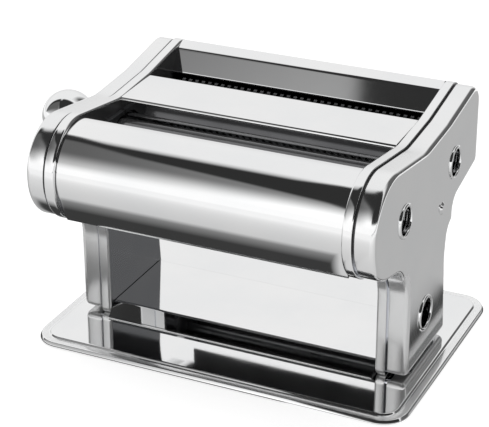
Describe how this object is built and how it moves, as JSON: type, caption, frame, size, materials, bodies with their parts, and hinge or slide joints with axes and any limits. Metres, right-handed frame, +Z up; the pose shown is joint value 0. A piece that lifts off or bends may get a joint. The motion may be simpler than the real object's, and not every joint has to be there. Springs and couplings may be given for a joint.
{
  "type": "pasta machine",
  "caption": "Hand-cranked pasta machine with a rounded roller head, slots for sheeting and cutting, two hollow end frames on a pressed base and a domed setting knob.",
  "frame": {"origin": "middle of the overall box in X and Y, on the table plane under the rubber feet", "axes": "+X across the machine towards the crank sockets, +Y towards the rear, +Z up"},
  "size_m": [0.2318, 0.1604, 0.1351],
  "materials": {
    "polished_steel": "mirror-polished stainless sheet",
    "machined_steel": "plain machined steel",
    "bearing_brass": "turned brass bush",
    "guide_plastic": "light grey moulded guide",
    "foot_rubber": "black rubber"
  },
  "bodies": {
    "frame": {"base_plate": "polished_steel", "rubber_feet": "foot_rubber", "cross_channel": "polished_steel", "left_inner_frame": "polished_steel", "right_inner_frame": "polished_steel", "left_outer_cover": "polished_steel", "right_outer_cover": "polished_steel", "front_cover": "polished_steel", "tray": "polished_steel", "rear_cover": "polished_steel", "dough_guides": "guide_plastic", "roller_bushes": "bearing_brass", "front_scraper": "machined_steel", "cutter_bushes": "bearing_brass", "front_comb": "machined_steel", "rear_comb": "machined_steel", "dial_plate": "polished_steel", "tie_rods": "machined_steel", "tie_nuts": "machined_steel", "base_screws": "machined_steel", "hole_rings": "polished_steel", "cover_screws": "polished_steel"},
    "front_roller": {"front_roller": "polished_steel", "front_roller_gear": "machined_steel"},
    "carriage": {"left_bearing_block": "machined_steel", "right_bearing_block": "machined_steel", "carriage_bar": "machined_steel", "rear_scraper": "machined_steel"},
    "rear_roller": {"rear_roller": "polished_steel", "rear_roller_gear": "machined_steel"},
    "front_cutter": {"front_cutter": "machined_steel", "front_cutter_gear": "machined_steel"},
    "rear_cutter": {"rear_cutter": "machined_steel", "rear_cutter_gear": "machined_steel"},
    "setting": {"setting_shaft": "machined_steel", "shaft_nut": "machined_steel", "knob_spring": "machined_steel"},
    "knob": {"knob_hub": "machined_steel", "knob": "polished_steel"}
  },
  "joints": [
    {"name": "front_roller_spin", "type": "hinge", "parent": "frame", "child": "front_roller", "pos_m": [0.0092, -0.03757, 0.1008], "axis": [1, 0, 0], "continuous": true},
    {"name": "setting_turn", "type": "hinge", "parent": "frame", "child": "setting", "pos_m": [-0.0808, -0.00852, 0.11049], "axis": [1, 0, 0], "range_deg": [-80, 80]},
    {"name": "carriage_slide", "type": "slide", "parent": "frame", "child": "carriage", "axis": [0, 0.9945, 0.1045], "range_m": [-0.00118, 0.00118]},
    {"name": "rear_roller_spin", "type": "hinge", "parent": "carriage", "child": "rear_roller", "pos_m": [0.0092, -0.01178, 0.10351], "axis": [1, 0, 0], "continuous": true},
    {"name": "knob_pull", "type": "slide", "parent": "setting", "child": "knob", "axis": [-1, 0, 0], "range_m": [0, 0.004], "stiffness_N_per_m": 500, "springref_m": -0.004},
    {"name": "front_cutter_spin", "type": "hinge", "parent": "frame", "child": "front_cutter", "pos_m": [0.0092, 0.03723, 0.1023], "axis": [1, 0, 0], "continuous": true},
    {"name": "rear_cutter_spin", "type": "hinge", "parent": "frame", "child": "rear_cutter", "pos_m": [0.0092, 0.05613, 0.10881], "axis": [1, 0, 0], "continuous": true}
  ],
  "couplings": [
    {"joint": "rear_roller_spin", "follows": "front_roller_spin", "ratio": -1},
    {"joint": "rear_cutter_spin", "follows": "front_cutter_spin", "ratio": -1},
    {"joint": "setting_turn", "follows": "carriage_slide", "rad_per_m": -1183}
  ]
}
